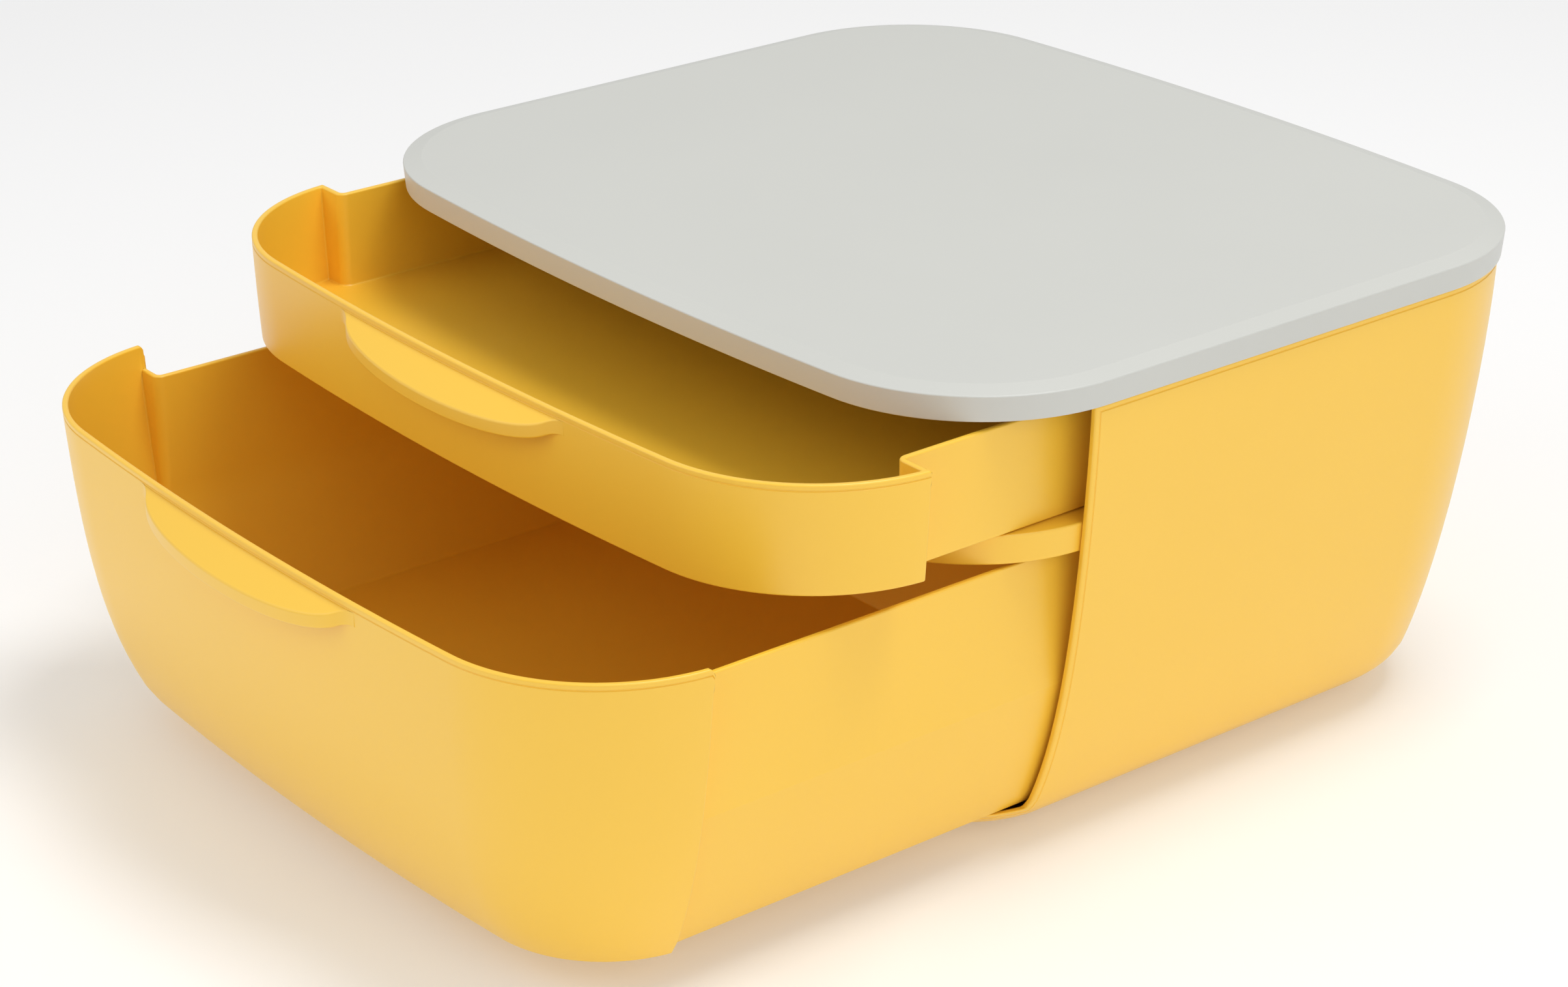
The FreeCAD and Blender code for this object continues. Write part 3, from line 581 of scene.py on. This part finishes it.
def make_drawer(numbers):
    rim, side, base, half = (numbers[k] for k in ("rim", "side", "base", "half"))
    raised_rim = rim != side
    piece = Builder()
    front = front_stations(bow=24, corner=26, y_end=END_YS[0]) + \
        [side_at(y) for y in END_YS[1:]]
    before_end = len(front) - len(END_YS)
    at_step = before_end + END_YS.index(STEP_Y)
    rim_drops = [rim] * before_end + [rim + (rim_end(y) if raised_rim else 0.0) for y in END_YS]

    def under_rim(distance, offset):
        return row(front, [d + distance for d in rim_drops], offset)

    def outside(drop):
        return all_round(row(front, drop, 0.0) + tray(drop, half))

    # levels from the side rim down; one is where the tray's side bends in to follow the casing
    bend = bend_drop(half)

    def spaced(bottom):
        found = [side + (bottom - side) * s for s in shares(numbers["rows"], True)]
        nearest = min(found[1:-1], key=lambda level: abs(level - bend))
        return [bend if level == nearest and bend < bottom else level for level in found]

    def creased(drop):
        """Rounding of a row that runs crisp along the bend, on the tray's side and rear only."""
        right = [1.0] * len(front) + [CREASE if drop == bend else 1.0] * len(tray(drop, half))
        return right + right[-2:0:-1]

    levels = spaced(base)
    rim_rows = [under_rim(distance, GROOVE_DEPTH * share) for distance, share in GROOVE]
    if raised_rim:
        outer = [outside(d) for d in levels]
        piece.grid(outer, closed=True, rounding=[creased(d) for d in levels])
        # the raised rim of the front, closed at its ends
        raised = rim_rows + [row(front, side, 0.0)]
        end_drops = [rim_drops[-1] + distance for distance in GROOVE_AT] + [side]
        raised = [points + row([side_at(PANEL_Y)], d, DRAWER_WALL)
                  for points, d in zip(raised, end_drops)]
        piece.grid([across_front(r) for r in raised], rounding=GROOVE_ROUNDING + [1.0])
    else:
        outer = [all_round(points + tray(rim + distance, half))
                 for points, distance in zip(rim_rows, GROOVE_AT)] + \
                [outside(d) for d in [rim + DROP_UNDER_GROOVE] + levels[1:]]
        piece.grid(outer, closed=True,
                   rounding=GROOVE_ROUNDING + [1.0] * (len(outer) - len(GROOVE)))
    piece.face(outer[-1])
    inner = [all_round(row(front[:at_step + 1], d, DRAWER_WALL) + tray(d, half, inner=True)[1:])
             for d in spaced(base - DRAWER_WALL)]
    piece.grid(inner, closed=True)
    piece.face(inner[-1])

    # top of the walls
    step_out, step_in = tray(side, half), tray(side, half, inner=True)
    piece.grid([across_rear(step_out), across_rear(step_in)])
    top_out, top_in = under_rim(0.0, 0.0), under_rim(0.0, DRAWER_WALL)
    if raised_rim:
        piece.grid([across_front(top_out), across_front(top_in)])
        inside = [under_rim(distance, DRAWER_WALL) for distance in GROOVE_AT]
        piece.grid([across_front(r) for r in inside + [row(front, side, DRAWER_WALL)]])
    else:
        piece.grid([across_front(top_out[:at_step + 1]), across_front(top_in[:at_step + 1])])
        corner = top_out[at_step:] + [step_out[0], top_in[at_step]]
        piece.face(corner)
        piece.face(mirrored(corner))
    return piece


def lip_reach(x):
    """How far the lip stands out of the front here."""
    bow = LIP_HALF ** 2 / (2 * BOW) + LIP_SINK
    deep = LIP_REACH + bow

    def ellipse(at):
        return deep * math.sqrt(1 - (at / LIP_HALF) ** 2) - bow + at ** 2 / (2 * BOW)

    if abs(x) <= LIP_FLARE:
        return ellipse(abs(x))
    fall = deep * LIP_FLARE / LIP_HALF ** 2 / math.sqrt(1 - (LIP_FLARE / LIP_HALF) ** 2)
    angle = math.atan(fall - LIP_FLARE / BOW)
    radius = ellipse(LIP_FLARE) / (1 - math.cos(angle))
    over = LIP_FLARE + radius * math.sin(angle) - abs(x)
    return radius - math.sqrt(radius ** 2 - over ** 2) if over > 0 else -LIP_TUCK


def add_handle(piece, rim):
    """The flared lip: a sloping half-moon under the rim with a deep edge, hollow underneath."""
    top_z = RIM_Z - rim - LIP_START
    face_y = -tub(rim + LIP_START, 0.0)[1]
    rows, rounding = [], []
    for i in range(LIP_COLUMNS + 1):
        x = LIP_END * math.cos(math.pi * i / LIP_COLUMNS)
        reach = lip_reach(x)
        y_face = face_y + x ** 2 / (2 * BOW)
        y_root = y_face + LIP_ROOT
        y_out = y_face - reach
        y_in = min(y_out + LIP_WALL, y_root - LIP_ROOT_GAP)
        z_out = top_z - LIP_SLOPE * reach
        rows.append([(x, y_root, top_z - LIP_TUCK),
                     (x, y_face, top_z),
                     (x, y_out, z_out),
                     (x, y_out, z_out - LIP_EDGE),
                     (x, y_in, z_out - LIP_EDGE),
                     (x, y_in, top_z - LIP_WALL - LIP_SLOPE * (y_face - y_in)),
                     (x, y_root, top_z - LIP_WALL + LIP_SLOPE * (y_root - y_face))])
        rounding.append(max(0.0, min(1.0, reach / LIP_FULL_ROUND)))
    piece.grid(rows, closed=True, rounding=rounding)


for name, numbers in (("upper_drawer", UPPER), ("lower_drawer", LOWER)):
    drawer = make_drawer(numbers)
    add_handle(drawer, numbers["rim"])
    drawer.finish(name + "_moulding", name, "yellow_" + name, yellow, [name], bevel=0.75,
                  shift=-numbers["open"])

# ------------------------------------------------------------ feet and screws keep their CAD shape
for node, material in (("foot_front_left", rubber), ("foot_front_right", rubber),
                       ("foot_rear_left", rubber), ("foot_rear_right", rubber),
                       ("lid_screws", steel), ("shelf_screws", steel)):
    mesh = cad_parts[node].data
    mesh.materials.clear()
    mesh.materials.append(material)

# ------------------------------------------------------------ floor, light and camera
WHITE = (1, 1, 1, 1)
FLOOR_SIZE = 6.0
FLOOR_COLOUR = (0.78, 0.78, 0.78, 1)
FLOOR_GLOW = 0.2
FLOOR_ROUGHNESS = 0.8
WORLD_STRENGTH = 0.54
# Name, place, the point that it faces, width and height, and power in watts.
LIGHTS = (("key_light", (-0.9, -1.9, 1.3), (0, -0.1, 0.1), (1.6, 1.2), 8.5),
          ("side_light", (2.2, -0.5, 1.2), (0, 0.0, 0.1), (1.8, 1.4), 10.0),
          ("top_light", (0.45, 0.2, 2.1), (0, 0, 0.1), (0.8, 0.8), 20.0))
# The photograph's camera, solved from the outline of the box.
CAMERA_PLACE = (1.0350, -0.91105, 0.6704)
CAMERA_LENS, CAMERA_SENSOR, CAMERA_FAR = 85.05, 36.0, 50.0
YAW, PITCH, ROLL = math.radians(51.2), math.radians(23.8), math.radians(-0.15)


def add_floor():
    bm = bmesh.new()
    bmesh.ops.create_grid(bm, x_segments=1, y_segments=1, size=FLOOR_SIZE)
    mesh = bpy.data.meshes.new("floor")
    bm.to_mesh(mesh)
    bm.free()
    floor = bpy.data.objects.new("floor", mesh)
    bpy.context.scene.collection.objects.link(floor)
    material, shader = new_material("pale_floor")
    shader.inputs["Base Color"].default_value = FLOOR_COLOUR
    shader.inputs["Emission Color"].default_value = WHITE
    shader.inputs["Emission Strength"].default_value = FLOOR_GLOW
    shader.inputs["Roughness"].default_value = FLOOR_ROUGHNESS
    mesh.materials.append(material)


def add_light(name, place, target, size, energy):
    data = bpy.data.lights.new(name, "AREA")
    data.shape = "RECTANGLE"
    data.size, data.size_y = size
    data.energy = energy
    light = bpy.data.objects.new(name, data)
    bpy.context.scene.collection.objects.link(light)
    light.location = place
    light.rotation_euler = (Vector(target) - Vector(place)).to_track_quat("-Z", "Y").to_euler()


def add_world():
    world = bpy.data.worlds.new("studio")
    bpy.context.scene.world = world
    world.use_nodes = True
    background = world.node_tree.nodes["Background"]
    background.inputs["Color"].default_value = WHITE
    background.inputs["Strength"].default_value = WORLD_STRENGTH


def add_camera():
    data = bpy.data.cameras.new("camera")
    camera = bpy.data.objects.new("camera", data)
    bpy.context.scene.collection.objects.link(camera)
    data.lens = CAMERA_LENS
    data.sensor_width = CAMERA_SENSOR
    data.sensor_fit = "HORIZONTAL"
    data.clip_end = CAMERA_FAR
    back = Vector((math.sin(YAW) * math.cos(PITCH), -math.cos(YAW) * math.cos(PITCH),
                   math.sin(PITCH)))
    right = Vector((math.cos(YAW), math.sin(YAW), 0.0))
    up = back.cross(right)
    turned_right = right * math.cos(ROLL) + up * math.sin(ROLL)
    turned_up = up * math.cos(ROLL) - right * math.sin(ROLL)
    turn = Matrix((turned_right, turned_up, back)).transposed().to_4x4()
    camera.matrix_world = Matrix.Translation(CAMERA_PLACE) @ turn
    bpy.context.scene.camera = camera


add_floor()
for light in LIGHTS:
    add_light(*light)
add_world()
add_camera()
bpy.context.scene.view_settings.view_transform = "Standard"
